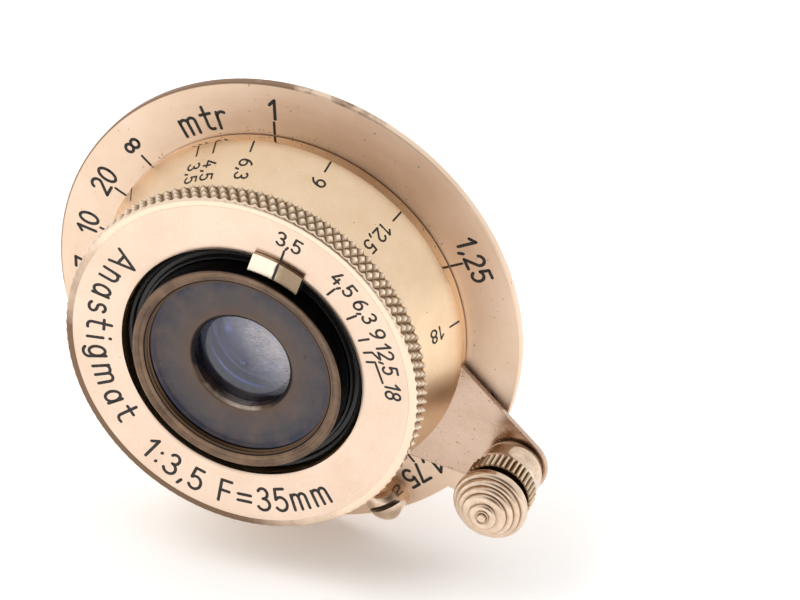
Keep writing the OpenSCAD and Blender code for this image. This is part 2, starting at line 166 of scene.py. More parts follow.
def turned(name, rings, steps, wave=None, centre=None, sharp=30):
    """A closed body of revolution. rings is a closed loop of (radius, height, share), where
    share says how much of wave(degrees, height) is added to the radius there."""
    points, faces = [], []
    count = len(rings)
    for degrees in (360 * i / steps for i in range(steps)):
        for radius, height, share in rings:
            r = radius + (share * wave(degrees, height) if share else 0)
            p = place(r, degrees, height)
            points.append(p if centre is None else p + centre)
    for i in range(steps):
        a, b = i * count, (i + 1) % steps * count
        for k in range(count):
            n = (k + 1) % count
            faces.append((a + k, a + n, b + n, b + k))
    return mesh_object(name, points, faces, sharp)


def ring_line(start, end, count, share=0.0):
    """Points of a straight stretch of a profile, without its end point."""
    across, rise = end[0] - start[0], end[1] - start[1]
    return [
        (start[0] + across * i / count, start[1] + rise * i / count, share) for i in range(count)
    ]


def fraction(value):
    """1 midway between two whole numbers, 0 at a whole number."""
    return 1 - abs((value % 1) * 2 - 1)


def knurl(degrees, height):
    """Shift of the radius at a point of the diamond knurling, 0 on the crests."""
    sharpness = 1.15
    around = degrees / 360 * KNURL_COUNT
    along = (height - KNURL_BACK) / KNURL_PITCH
    hill = min(fraction(around + along), fraction(around - along))
    return -KNURL_DEPTH * (1 - hill) ** sharpness


def front_ring():
    """The knurled ring and the engraved face."""
    r, top, back = FRONT_R, FRONT_TOP, KNURL_BACK
    seat_r, step_r = 13.9, 14.5
    lip_depth = 0.5
    rings = [(seat_r, CONE_TOP, 0), (step_r, CONE_TOP, 0)]
    rings += ring_line((step_r, back), (r - 0.4, back), 2)
    rings += [(r - 0.3, back + 0.01, 0.4), (r - 0.08, back + 0.06, 0.9)]
    rings += ring_line((r, back + 0.14), (r, top - 0.42), 24, 1.0)
    # the rounded front edge, where the knurling fades, and the flat land
    rings += [(r, top - 0.42, 0.85), (r - 0.03, top - 0.3, 0.45), (r - 0.08, top - 0.19, 0.2)]
    rings += [(r - 0.17, top - 0.1, 0.08), (r - 0.29, top - 0.04, 0.02), (r - 0.42, top, 0)]
    rings += [(r - 0.8, top, 0), (r - 0.87, top - 0.02, 0), (r - 0.9, top - 0.05, 0)]
    # the face, and the lip at its inner edge
    rings += ring_line((FACE_OUT_R, FACE_OUT_TOP), (FACE_IN_R + 0.06, FACE_IN_TOP), 8)
    rings += [(FACE_IN_R + 0.06, FACE_IN_TOP, 0), (FACE_IN_R, FACE_IN_TOP - 0.05, 0)]
    rings += [(FACE_IN_R, FACE_IN_TOP - lip_depth, 0), (seat_r, FACE_IN_TOP - lip_depth, 0)]
    piece = turned("front_ring_knurled", rings, KNURL_COUNT * 12, knurl, sharp=38)
    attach(piece, "barrel")
    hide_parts("front_ring")
    return piece


def depth_ring():
    """The cone that carries the depth scale, with its polished upright foot."""
    inner, bore, ceiling = 17.9, 14.5, 4.2
    rings = [(inner, RING_FOOT, 0), (RING_R - 0.05, RING_FOOT, 0), (RING_R, RING_FOOT + 0.05, 0)]
    rings += [(RING_R, RING_EDGE - 0.1, 0), (RING_R - 0.015, RING_EDGE - 0.01, 0)]
    low, high = RING_EDGE + 0.08, CONE_TOP - 0.06
    rings += ring_line((cone_radius(low), low), (cone_radius(high), high), 10)
    rings += [(cone_radius(high), high, 0), (CONE_END_R - 0.03, CONE_TOP - 0.01, 0)]
    rings += [(CONE_END_R - 0.1, CONE_TOP, 0)]
    rings += [(bore, CONE_TOP, 0), (bore, ceiling, 0), (inner, ceiling, 0)]
    piece = turned("depth_scale_cone", rings, 288)
    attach(piece, "barrel")
    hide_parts("depth_scale_ring")
    return piece


def lever_outline(steps=28):
    """Corner points of the lever in its own plane, as (along, across) in mm."""
    inner = 14.8
    taper = math.degrees(math.asin((LEVER_EDGE - LEVER_END_R) / LEVER_REACH))
    limit = 90 - taper
    points = []
    for i in range(steps + 1):
        a = math.radians(limit - 2 * limit * i / steps)
        points.append((LEVER_REACH + LEVER_END_R * math.cos(a), LEVER_END_R * math.sin(a)))
    # where each straight edge, which passes the axis at LEVER_EDGE, crosses the inner circle
    meet = limit - math.degrees(math.acos(LEVER_EDGE / inner))
    for i in range(steps + 1):
        a = math.radians(-meet + 2 * meet * i / steps)
        points.append((inner * math.cos(a), inner * math.sin(a)))
    return points


def focus_lever():
    """The flat arm, with its edges rounded."""
    edge_width = 0.11
    turn = math.radians(LEVER_AT)
    outline = lever_outline()
    points = []
    for height in (LEVER_LOW, LEVER_TOP):
        for along, across in outline:
            x = along * math.cos(turn) - across * math.sin(turn)
            z = along * math.sin(turn) + across * math.cos(turn)
            points.append(Vector((x, -height, z)) * MM)
    n = len(outline)
    faces = [tuple(range(n)), tuple(reversed(range(n, 2 * n)))]
    faces += [(i, i + n, (i + 1) % n + n, (i + 1) % n) for i in range(n)]
    piece = mesh_object("focus_lever_plate", points, faces, 30)
    bevel = piece.modifiers.new("edge", "BEVEL")
    bevel.width = edge_width * MM
    bevel.segments = 2
    bevel.limit_method = "ANGLE"
    bevel.harden_normals = True
    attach(piece, "barrel")
    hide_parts("focus_lever")
    return piece


def serration(degrees, height):
    """Shift of the radius in the collar's upright grooves, the same at every height."""
    sharpness = 1.3
    return -SERRATION_DEPTH * (1 - fraction(degrees / 360 * SERRATIONS)) ** sharpness


def knob_collar():
    """The knob's lower part: foot, neck and serrated band."""
    r, low, top = COLLAR_R, KNOB_LOW, COLLAR_TOP
    bore, bore_floor, pin_hole = 2.15, 3.6, 0.6
    foot_r, neck_r, band_low = 2.9, 3.1, top - 1.9
    rings = [(pin_hole, low, 0), (foot_r - 0.12, low, 0), (foot_r - 0.12, low + 0.26, 0)]
    rings += [(foot_r - 0.02, low + 0.34, 0)]
    # the foot widens in a curve to the neck
    curve_steps, curve_height = 8, 0.9
    for i in range(curve_steps + 1):
        share = i / curve_steps
        wider = (neck_r - foot_r) * math.sin(share * math.pi / 2)
        rings.append((foot_r + wider, low + 0.42 + curve_height * share, 0))
    rings += ring_line((neck_r, low + 1.4), (neck_r, band_low - 0.35), 3)
    rings += [(neck_r + 0.02, band_low - 0.3, 0), (neck_r + 0.08, band_low - 0.2, 0)]
    rings += [(r - 0.16, band_low - 0.08, 0.25)]
    rings += ring_line((r, band_low + 0.06), (r, top - 0.22), 9, 1.0)
    rings += [(r, top - 0.22, 1.0), (r - 0.07, top - 0.09, 0.7), (r - 0.2, top, 0.2)]
    rings += [(bore, top, 0), (bore, bore_floor, 0), (pin_hole, bore_floor, 0)]
    piece = turned("knob_collar_serrated", rings, SERRATIONS * 8, serration, KNOB_AXIS, 34)
    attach(piece, "barrel")
    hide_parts("knob_collar")
    return piece


def rib(outer, inner, low, high, count=7):
    """Profile points of one rounded step of the button, from its foot to its top."""
    points = []
    for i in range(count + 1):
        a = math.radians(90 * i / count)
        radius = inner + (outer - inner) * math.cos(a)
        points.append((radius, low + (high - low) * math.sin(a), 0))
    return points


def lock_button():
    """The button: rounded steps that shrink towards a small nub, on a shaft."""
    bottom, top = heights("lock_button")
    r = reach("lock_button")
    cap_low = COLLAR_TOP + 0.9
    shaft_r, pin_hole, pin_top = 2.1, 0.5, 7.8
    # a turned body is a closed ring, so a hair-thin bore stays on its axis
    hair = 0.02
    rings = [(pin_hole, bottom, 0), (shaft_r, bottom, 0), (shaft_r, cap_low, 0)]
    rings += [(r - 0.45, cap_low, 0), (r - 0.2, cap_low + 0.12, 0), (r - 0.05, cap_low + 0.32, 0)]
    rings += [(r, cap_low + 0.5, 0)]
    # each step: its outer radius, the next one's, its foot and its height
    edge = top - 2.5
    steps = ((r, 3.22, edge, 0.33), (3.2, 2.74, edge + 0.62, 0.3), (2.72, 2.2, edge + 1.14, 0.28))
    steps += ((2.18, 1.42, edge + 1.6, 0.3), (1.36, 0.98, edge + 2.02, 0.26))
    for outer, inner, low, high in steps:
        rings += [(outer, low - 0.06, 0)] + rib(outer, inner, low, low + high)
    # the groove round the nub, the nub, and the blind hole for the pin
    rings += [(0.8, edge + 2.24, 0), (0.62, edge + 2.14, 0), (0.5, edge + 2.16, 0)]
    rings += [(0.44, edge + 2.24, 0), (0.42, top - 0.1, 0), (0.36, top - 0.03, 0), (0.2, top, 0)]
    rings += [(hair, top, 0), (hair, pin_top, 0), (pin_hole, pin_top, 0)]
    piece = turned("lock_button_stepped", rings, 128, None, KNOB_AXIS, 34)
    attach(piece, "lock_button")
    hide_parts("lock_button")
    return piece


def button_spring():
    """The coil spring under the button."""
    low, high = heights("button_spring")
    wire, turns, around, sides = 0.15, 3.5, 40, 12
    coil_r = reach("button_spring") - wire
    points, faces = [], []
    count = int(turns * around)
    for i in range(count + 1):
        a = 2 * math.pi * i / around
        middle = low + wire + (high - low - 2 * wire) * i / count
        for k in range(sides):
            b = 2 * math.pi * k / sides
            r = coil_r + wire * math.cos(b)
            y = -(middle + wire * math.sin(b))
            points.append(KNOB_AXIS + Vector((r * math.cos(a), y, r * math.sin(a))) * MM)
    for i in range(count):
        for k in range(sides):
            n = (k + 1) % sides
            a, b = i * sides, (i + 1) * sides
            faces.append((a + k, b + k, b + n, a + n))
    faces.append(tuple(range(sides)))
    faces.append(tuple(reversed(range(count * sides, (count + 1) * sides))))
    piece = mesh_object("button_return_spring", points, faces, 60)
    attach(piece, "barrel")
    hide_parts("button_spring")
    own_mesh(piece)
    return piece


# ---------------------------------------------------------------- engraving


def arc(cx, cy, rx, ry, start, end, count=18):
    """Points on an ellipse from one angle to another."""
    turns = [math.radians(start + (end - start) * i / count) for i in range(count + 1)]
    return [(cx + rx * math.cos(a), cy + ry * math.sin(a)) for a in turns]


def bend(start, control, end, count=10):
    """Points on a quadratic curve."""
    points = []
    for t in (i / count for i in range(count + 1)):
        a, b, c = (1 - t) ** 2, 2 * t * (1 - t), t * t
        points.append([a * start[k] + b * control[k] + c * end[k] for k in (0, 1)])
    return points


# Each glyph is its width and its strokes, drawn on a line 1 high
GLYPHS = {
    "0": (0.66, [arc(0.33, 0.5, 0.28, 0.5, 0, 360, 32)]),
    "1": (0.46, [[(0.04, 0.74), (0.3, 1)], [(0.3, 1), (0.3, 0)]]),
    "2": (0.66, [arc(0.31, 0.72, 0.26, 0.28, 165, -28) + [(0.06, 0)], [(0.06, 0), (0.6, 0)]]),
    "3": (0.66, [arc(0.3, 0.765, 0.23, 0.235, 152, -90), arc(0.3, 0.265, 0.27, 0.265, 90, -152)]),
    "4": (0.66, [[(0.36, 1), (0.04, 0.3)], [(0.04, 0.3), (0.6, 0.3)], [(0.44, 0.56), (0.44, 0)]]),
    "5": (
        0.66,
        [[(0.56, 1), (0.14, 1)], [(0.14, 1), (0.1, 0.54)], arc(0.31, 0.31, 0.27, 0.31, 138, -145)],
    ),
    "6": (0.66, [arc(0.33, 0.3, 0.27, 0.3, 0, 360, 26), bend((0.48, 1), (0.1, 0.85), (0.06, 0.32))]),
    "7": (0.62, [[(0.04, 1), (0.58, 1)], [(0.58, 1), (0.24, 0)]]),
    "8": (
        0.66,
        [arc(0.33, 0.765, 0.22, 0.235, 0, 360, 24), arc(0.33, 0.265, 0.27, 0.265, 0, 360, 24)],
    ),
    "9": (0.66, [arc(0.33, 0.7, 0.27, 0.3, 0, 360, 26), bend((0.6, 0.68), (0.56, 0.15), (0.18, 0))]),
    ",": (0.26, [[(0.15, 0.09), (0.06, -0.13)]]),
    ":": (0.34, [[(0.15, 0.1), (0.16, 0.13)], [(0.15, 0.62), (0.16, 0.65)]]),
    "=": (0.8, [[(0.08, 0.28), (0.66, 0.28)], [(0.08, 0.58), (0.66, 0.58)]]),
    " ": (0.44, []),
    "F": (0.7, [[(0.08, 0), (0.08, 1)], [(0.08, 1), (0.58, 1)], [(0.08, 0.52), (0.5, 0.52)]]),
    "A": (0.78, [[(0.04, 0), (0.36, 1)], [(0.36, 1), (0.68, 0)], [(0.16, 0.34), (0.56, 0.34)]]),
    "m": (
        0.92,
        [
            [(0.08, 0), (0.08, 0.7)],
            arc(0.25, 0.53, 0.17, 0.17, 170, 0, 8) + [(0.42, 0)],
            arc(0.59, 0.53, 0.17, 0.17, 170, 0, 8) + [(0.76, 0)],
        ],
    ),
    "n": (0.6, [[(0.08, 0), (0.08, 0.7)], arc(0.27, 0.51, 0.19, 0.19, 170, 0, 8) + [(0.46, 0)]]),
    "r": (0.48, [[(0.08, 0), (0.08, 0.7)], arc(0.28, 0.48, 0.2, 0.22, 180, 50, 8)]),
    "t": (
        0.56,
        [[(0.22, 1.02)] + arc(0.4, 0.2, 0.18, 0.18, 180, 290, 8), [(0.04, 0.7), (0.46, 0.7)]],
    ),
    "a": (0.62, [arc(0.27, 0.34, 0.2, 0.34, 0, 360, 24), [(0.48, 0.68), (0.48, 0)]]),
    "i": (0.26, [[(0.12, 0), (0.12, 0.66)], [(0.12, 0.94), (0.12, 0.97)]]),
    "s": (
        0.52,
        [arc(0.26, 0.51, 0.17, 0.17, 35, 270, 12) + arc(0.26, 0.17, 0.19, 0.17, 90, -145, 12)],
    ),
    "g": (
        0.62,
        [
            arc(0.27, 0.34, 0.2, 0.34, 0, 360, 24),
            [(0.48, 0.68), (0.48, -0.05)] + arc(0.28, -0.05, 0.2, 0.2, 0, -150, 10)[1:],
        ],
    ),
    "oo": (1.1, [arc(0.29, 0.5, 0.25, 0.27, 0, 360, 24), arc(0.81, 0.5, 0.27, 0.29, 0, 360, 24)]),
}


class Engraving:
    """Filled strokes on one surface. surface(u, v, lift) turns the surface's own coordinates
    and a height above it, all in mm, into a point in metres. width is the strokes' width."""

    def __init__(self, surface, width):
        self.surface, self.width = surface, width
        self.points, self.faces = [], []

    def stroke(self, line, width=None):
        """Adds one stroke with round ends along a line of (u, v) points."""
        half = (width or self.width) / 2
        # a station is a point of the line, the direction there and half the stroke's width
        stations = []
        count = len(line)
        for i, (x, y) in enumerate(line):
            x0, y0 = line[max(i - 1, 0)]
            x1, y1 = line[min(i + 1, count - 1)]
            length = math.hypot(x1 - x0, y1 - y0) or 1
            stations.append((x, y, (x1 - x0) / length, (y1 - y0) / length, half))
        # 88 degrees rather than 90 leave the very end a little width
        cap_steps, cap_turn = 5, 88
        first, last = stations[0], stations[-1]
        before, after = [], []
        for k in range(cap_steps):
            a = math.radians(cap_turn - cap_turn * k / cap_steps)
            push, wide = half * math.sin(a), half * math.cos(a)
            x, y, dx, dy, _ = first
            before.append((x - dx * push, y - dy * push, dx, dy, wide))
            x, y, dx, dy, _ = last
            after.insert(0, (x + dx * push, y + dy * push, dx, dy, wide))
        stations = before + stations + after
        base = len(self.points)
        # the stroke's cross-section: the share of half its width, and mm above the surface
        section = ((1, -0.03), (1, 0.006), (0.5, 0.014), (-0.5, 0.014), (-1, 0.006), (-1, -0.03))
        for x, y, dx, dy, wide in stations:
            for side, lift in section:
                off = wide * side
                self.points.append(self.surface(x - dy * off, y + dx * off, lift))
        size = len(section)
        for i in range(len(stations) - 1):
            a, b = base + i * size, base + (i + 1) * size
            for k in range(size):
                n = (k + 1) % size
                self.faces.append((a + k, a + n, b + n, b + k))
        self.faces.append(tuple(base + k for k in reversed(range(size))))
        end = base + (len(stations) - 1) * size
        self.faces.append(tuple(end + k for k in range(size)))

    def text(self, words, to_line, height, stretch, space):
        """Adds a line of glyphs, centred. words is a string or a list of glyph names.
        to_line(along, up) turns mm on the line into the surface's own (u, v)."""
        glyphs = [GLYPHS[w] for w in words]
        total = sum(g[0] + space for g in glyphs) - space
        along = -total / 2
        for width, strokes in glyphs:
            for points in strokes:
                line = [((along + x) * height * stretch, (y - 0.5) * height) for x, y in points]
                self.stroke([to_line(x, y) for x, y in line])
            along += width + space

    def build(self, name, body, material):
        """Makes the piece that holds all strokes."""
        piece = mesh_object(name, self.points, self.faces, 60)
        piece.data.materials.append(material)
        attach(piece, body)


def flat_surface(level):
    """A surface round the lens axis. u runs right and v up from the axis, seen from the
    front, and level(radius) gives the surface's height."""

    def at(u, v, lift):
        height = level(math.hypot(u, v)) + lift
        return Vector((u, -height, v)) * MM

    return at


def ring_text(radius, degrees, up_out=True):
    """Turns mm on a text line into a flat surface's (u, v), bent round at the radius. The
    text's top points outward or, if up_out is false, inward."""

    def at(along, up):
        side = 1 if up_out else -1
        turn = math.radians(degrees - side * math.degrees(along / radius))
        r = radius + side * up
        return (r * math.cos(turn), r * math.sin(turn))

    return at


def straight_text(radius, degrees):
    """As ring_text, with the top outward, but the line stays straight, for short numbers."""
    turn = math.radians(degrees)

    def at(along, up):
        r, t = radius + up, -along
        u = r * math.cos(turn) - t * math.sin(turn)
        return (u, r * math.sin(turn) + t * math.cos(turn))

    return at


def radial_tick(start, end, degrees):
    """A straight stroke along a radius."""
    turn = math.radians(degrees)
    return [(r * math.cos(turn), r * math.sin(turn)) for r in (start, (start + end) / 2, end)]


def distance_direction(metres):
    """Where a distance stands on the disc, from the focusing travel of a 35 mm lens."""
    focal = 0.035

    def travel(d):
        return focal * focal / (d - 2 * focal)

    return INFINITY_AT + SCALE_TURN * travel(metres) / travel(1)


def distance_engraving(ink):
    """Ticks and numbers of the distance scale."""
    engraving = Engraving(flat_surface(lambda r: DISC_TOP), 0.33)
    tick_low, tick_high, tick_width = 18.8, 20.0, 0.26
    number_r, number_size, infinity_size = 21.35, 1.95, 1.6
    word_r, word_at, word_size = 20.55, 113.4, 2.4
    marks = [(["oo"], None), ("20", 20), ("10", 10), ("7", 7), ("5", 5), ("4", 4), ("3", 3)]
    marks += [("2,5", 2.5), ("2", 2), ("1,75", 1.75), ("1,5", 1.5), ("1,25", 1.25), ("1", 1)]
    for words, metres in marks:
        at = INFINITY_AT if metres is None else distance_direction(metres)
        engraving.stroke(radial_tick(tick_low, tick_high, at), tick_width)
        size = infinity_size if metres is None else number_size
        engraving.text(words, straight_text(number_r, at), size, 1.0, 0.12)
    engraving.text("mtr", ring_text(word_r, word_at), word_size, 1.03, 0.1)
    engraving.build("distance_scale_numbers", "mount", ink)


def cone_surface(u, v, lift):
    """The cone's surface: u is mm round at the cone's foot, v is mm up its slope."""
    slope = math.hypot(1, CONE_SLOPE)
    height = RING_EDGE + v / slope
    radius = cone_radius(height)
    turn = u / RING_R
    radius += lift / slope
    height += lift * CONE_SLOPE / slope
    return Vector((radius * math.cos(turn), -height, radius * math.sin(turn))) * MM


def depth_engraving(ink):
    """Index and depth-of-field numbers on the cone. They read towards the front."""
    engraving = Engraving(cone_surface, 0.22)
    index = math.radians(DEPTH_INDEX_AT) * RING_R
    engraving.stroke([(index, 0.1), (index, 0.9), (index, 1.7)], 0.26)
    size, space, text_low = 1.3, 0.14, 2.25
    # rise is the height gained for each mm up the slope, near enough for lettering
    rise = 0.91
    # degrees from the index to each opening's marks
    offsets = (("3,5", 29.6), ("4,5", 35.5), ("6,3", 48.0), ("9", 72.1))
    offsets += (("12,5", 97.1), ("18", 135.4))
    for words, offset in offsets:
        for side in (-1, 1):
            around = math.radians(DEPTH_INDEX_AT + side * offset) * RING_R
            engraving.stroke([(around, 0.15), (around, 0.75), (around, 1.35)], 0.2)
            length = sum(GLYPHS[w][0] for w in words) * size + (len(words) - 1) * space * size
            middle = text_low + length / 2

            def to_line(along, up, around=around, middle=middle):
                grow = RING_R / (RING_R - CONE_SLOPE * (middle + along) * rise)
                return (around - up * grow, middle + along)

            engraving.text(words, to_line, size, 1.0, space)
    engraving.build("depth_scale_numbers", "barrel", ink)


def face_level(radius):
    """Height of the dished face at a radius."""
    share = (radius - FACE_IN_R) / (FACE_OUT_R - FACE_IN_R)
    return FACE_IN_TOP + (FACE_OUT_TOP - FACE_IN_TOP) * min(max(share, 0), 1)


def face_engraving(ink):
    """The lettering round the face and the aperture scale."""
    engraving = Engraving(flat_surface(face_level), 0.32)
    engraving.text("Anastigmat", ring_text(14.5, 178.0, False), 2.4, 1.08, 0.18)
    engraving.text("1:3,5 F=35mm", ring_text(14.95, -92.5, False), 2.3, 0.98, 0.14)
    number_r, size, stretch, space, tick_width = 15.5, 1.5, 0.98, 0.08, 0.24
    engraving.width = 0.25
    stops = (("3,5", 69.7, 70.4), ("4,5", 46.4, 47.1), ("6,3", 34.5, 34.3), ("9", 25.3, 24.0))
    for words, at, tick in stops:
        engraving.text(words, ring_text(number_r, at), size, stretch, space)
        engraving.stroke(radial_tick(13.2, 14.3, tick), tick_width)
    for words, at in (("12,5", 15.2), ("18", 2.2)):
        engraving.text(words, ring_text(number_r, at), size, stretch, space)
    # the last two ticks bend towards their numbers
    bend_r = 14.1
    for tick, bent_r, bent_at in ((18.3, 14.6, 15.6), (14.0, 14.5, 5.3)):
        engraving.stroke(radial_tick(13.2, bend_r, tick), tick_width)
        turn, end = math.radians(tick), math.radians(bent_at)
        start = (bend_r * math.cos(turn), bend_r * math.sin(turn))
        finish = (bent_r * math.cos(end), bent_r * math.sin(end))
        middle = ((start[0] + finish[0]) / 2, (start[1] + finish[1]) / 2)
        engraving.stroke([start, middle, finish], tick_width)
    engraving.build("face_numbers", "barrel", ink)


def tab_engraving(ink):
    """The index line across the aperture tab."""
    engraving = Engraving(flat_surface(lambda r: TAB_TOP), 0.27)
    engraving.stroke(radial_tick(11.15, 12.8, TAB_AT))
    engraving.build("aperture_index_line", "aperture", ink)


# ---------------------------------------------------------------- materials


# Sockets of a Mix node that mixes colours
SHARE, FIRST, SECOND, MIXED = 0, 6, 7, 2

BROWN_SPECK = (0.34, 0.22, 0.12)


class Nodes:
    """A material being wired. It holds the position on the object in mm (vector, x, y, z)
    and the distance from the optical axis (radius)."""

    def __init__(self, name):
        self.material = bpy.data.materials.new(name)
        self.material.use_nodes = True
        self.tree = self.material.node_tree
        self.shader = self.tree.nodes["Principled BSDF"]
        where = self.add("ShaderNodeTexCoord").outputs["Object"]
        scaled = self.add("ShaderNodeVectorMath", {0: where, "Scale": 1 / MM}, operation="SCALE")
        self.vector = scaled.outputs[0]
        self.x, self.y, self.z = self.add("ShaderNodeSeparateXYZ", {0: self.vector}).outputs
        self.radius = self.distance(self.x, self.z)

    def add(self, kind, inputs=None, **settings):
        made = self.tree.nodes.new(kind)
        for key, value in settings.items():
            setattr(made, key, value)
        for key, value in (inputs or {}).items():
            self.feed(made.inputs[key], value)
        return made

    def feed(self, socket, value):
        if isinstance(value, bpy.types.NodeSocket):
            self.tree.links.new(value, socket)
        else:
            socket.default_value = value

    def math(self, operation, *values):
        made = self.add("ShaderNodeMath", operation=operation)
        for socket, value in zip(made.inputs, values):
            self.feed(socket, value)
        return made.outputs[0]

    def plus(self, first, second):
        return self.math("ADD", first, second)

    def minus(self, first, second):
        return self.math("SUBTRACT", first, second)

    def times(self, first, second):
        return self.math("MULTIPLY", first, second)

    def distance(self, first, second):
        return self.math("SQRT", self.plus(self.times(first, first), self.times(second, second)))

    def ramp(self, value, *stops):
        """A colour ramp. Each stop is its position and a colour or a grey value."""
        made = self.add("ShaderNodeValToRGB", {"Fac": value})
        line = made.color_ramp
        while len(line.elements) < len(stops):
            line.elements.new(0.5)
        for element, (position, colour) in zip(line.elements, stops):
            element.position = position
            grey = isinstance(colour, (int, float))
            element.color = (colour,) * 3 + (1,) if grey else tuple(colour) + (1,)
        return made.outputs["Color"]

    def fade(self, value, low, high):
        """0 below low and 1 above high."""
        return self.ramp(value, (low, 0), (high, 1))

    def mix(self, share, first, second, blend_type="MIX"):
        made = self.add("ShaderNodeMix", data_type="RGBA", blend_type=blend_type)
        for socket, value in ((SHARE, share), (FIRST, first), (SECOND, second)):
            is_colour = isinstance(value, tuple) and len(value) == 3
            self.feed(made.inputs[socket], value + (1,) if is_colour else value)
        return made.outputs[MIXED]

    def noise(self, scale, detail=5.0, roughness=0.6, vector=None):
        inputs = {"Scale": scale, "Detail": detail, "Roughness": roughness}
        inputs["Vector"] = self.vector if vector is None else vector
        return self.add("ShaderNodeTexNoise", inputs).outputs[0]

    def finish(self, colour, metal, rough):
        """Sets the shader's colour, metallic share and roughness."""
        self.feed(self.shader.inputs["Base Color"], colour)
        self.feed(self.shader.inputs["Metallic"], metal)
        self.feed(self.shader.inputs["Roughness"], rough)

    def bump(self, height, strength, distance=0.00002):
        """Relief. distance is its depth in metres at a strength of 1."""
        inputs = {"Height": height, "Strength": strength, "Distance": distance}
        made = self.add("ShaderNodeBump", inputs)
        self.feed(self.shader.inputs["Normal"], made.outputs[0])


def streaks(nodes, first, second, third, roughness):
    """Noise over three values that change at different rates."""
    inputs = {0: first, 1: second, 2: third}
    vector = nodes.add("ShaderNodeCombineXYZ", inputs).outputs[0]
    return nodes.noise(1.0, 3.0, roughness, vector)


def lathe_streaks(nodes, fine=9.0, slow=0.06):
    """Noise drawn out round the lens axis, as a lathe or a brush leaves it."""
    across = nodes.times(nodes.plus(nodes.radius, nodes.y), fine)
    return streaks(nodes, across, nodes.times(nodes.x, slow), nodes.times(nodes.z, slow), 0.65)


def lengthwise_streaks(nodes, degrees, fine=8.0, slow=0.25):
    """Noise drawn out along a direction in the plane of the disc."""
    c, s = math.cos(math.radians(degrees)), math.sin(math.radians(degrees))
    along = nodes.plus(nodes.times(nodes.x, c), nodes.times(nodes.z, s))
    across = nodes.minus(nodes.times(nodes.z, c), nodes.times(nodes.x, s))
    return streaks(nodes, nodes.times(across, fine), nodes.times(along, slow), nodes.y, 0.6)


def worn_nickel(name, light, dark, rough, grain, speck_at):
    """Plated metal: brushed grain, cloudy tarnish and small brown specks, which show where
    a noise passes speck_at. Gives the nodes and the colour."""
    nodes = Nodes(name)
    marks = grain(nodes)
    colour = nodes.mix(nodes.fade(nodes.noise(0.16), 0.38, 0.66), light, dark)
    colour = nodes.mix(0.5, colour, nodes.ramp(marks, (0.3, 0.86), (0.7, 1.0)), "MULTIPLY")
    specks = nodes.ramp(nodes.noise(2.6, 2.0, 0.5), (speck_at, 0), (speck_at + 0.05, 0.8))
    colour = nodes.mix(specks, colour, (0.30, 0.20, 0.11))
    nodes.finish(colour, 1.0, nodes.ramp(marks, (0.25, rough - 0.08), (0.75, rough + 0.08)))
    nodes.bump(marks, 0.25)
    return nodes, colour


def disc_nickel():
    """Brushed disc, with the plating rubbed brown along the upper left of its rim."""
    rim_r = 23.5
    light, dark = (0.90, 0.71, 0.56), (0.84, 0.64, 0.48)
    nodes, colour = worn_nickel("nickel_disc", light, dark, 0.48, lathe_streaks, 0.72)
    rim = nodes.fade(nodes.minus(nodes.radius, rim_r), 0.28, 0.38)
    side = nodes.times(nodes.minus(nodes.z, nodes.x), 0.02)
    worn = nodes.fade(nodes.plus(side, nodes.noise(0.3, 4.0)), 0.75, 0.95)
    colour = nodes.mix(nodes.times(rim, worn), colour, (0.30, 0.19, 0.12))
    nodes.feed(nodes.shader.inputs["Base Color"], colour)
    return nodes.material


def lever_nickel():
    """The arm: darker than the disc, glossier, and brushed along its length."""
    light, dark = (0.66, 0.49, 0.385), (0.57, 0.41, 0.31)

    def grain(nodes):
        return lengthwise_streaks(nodes, LEVER_AT)

    return worn_nickel("nickel_lever", light, dark, 0.26, grain, 0.68)[0].material


def tab_nickel():
    """The aperture tab: a bright painted reflection on one side of its line, olive-brown painted
    shade on the other.
    """
    nodes = Nodes("nickel_tab")
    turn = math.radians(TAB_AT)
    beside = nodes.minus(nodes.times(nodes.z, math.cos(turn)), nodes.times(nodes.x, math.sin(turn)))
    marks = lengthwise_streaks(nodes, TAB_AT, 7.0, 0.4)
    # painted light: a painted reflection on one side of the index line, painted olive shade on the
    # other, with a wavy border
    light_split = nodes.plus(nodes.times(beside, 0.25), nodes.times(nodes.noise(0.9, 4.0), 0.5))
    olive, pale_olive, bright = (0.30, 0.22, 0.145), (0.42, 0.32, 0.22), (0.92, 0.78, 0.64)
    colour = nodes.ramp(light_split, (0.02, olive), (0.26, pale_olive), (0.34, bright))
    nodes.finish(colour, 1.0, nodes.ramp(marks, (0.3, 0.22), (0.7, 0.36)))
    nodes.bump(marks, 0.25)
    return nodes.material


def cone_nickel():
    """Satin nickel that has yellowed, with soft mottling."""
    nodes = Nodes("nickel_cone")
    clouds = nodes.noise(0.22, 6.0, 0.62)
    colour = nodes.mix(nodes.fade(clouds, 0.36, 0.7), (0.90, 0.69, 0.48), (0.82, 0.60, 0.39))
    fine = nodes.noise(7.0, 2.0, 0.5)
    colour = nodes.mix(nodes.ramp(fine, (0.35, 0.0), (0.8, 0.22)), colour, (0.62, 0.46, 0.3))
    specks = nodes.ramp(nodes.noise(2.1, 2.0, 0.5), (0.74, 0), (0.78, 0.7))
    colour = nodes.mix(specks, colour, BROWN_SPECK)
    # the upright foot below the cone is polished, the cone is satin
    foot = nodes.ramp(nodes.times(nodes.y, -0.1), (0.305, 0.12), (0.315, 0.36))
    nodes.finish(colour, 1.0, foot)
    nodes.bump(fine, 0.12)
    return nodes.material


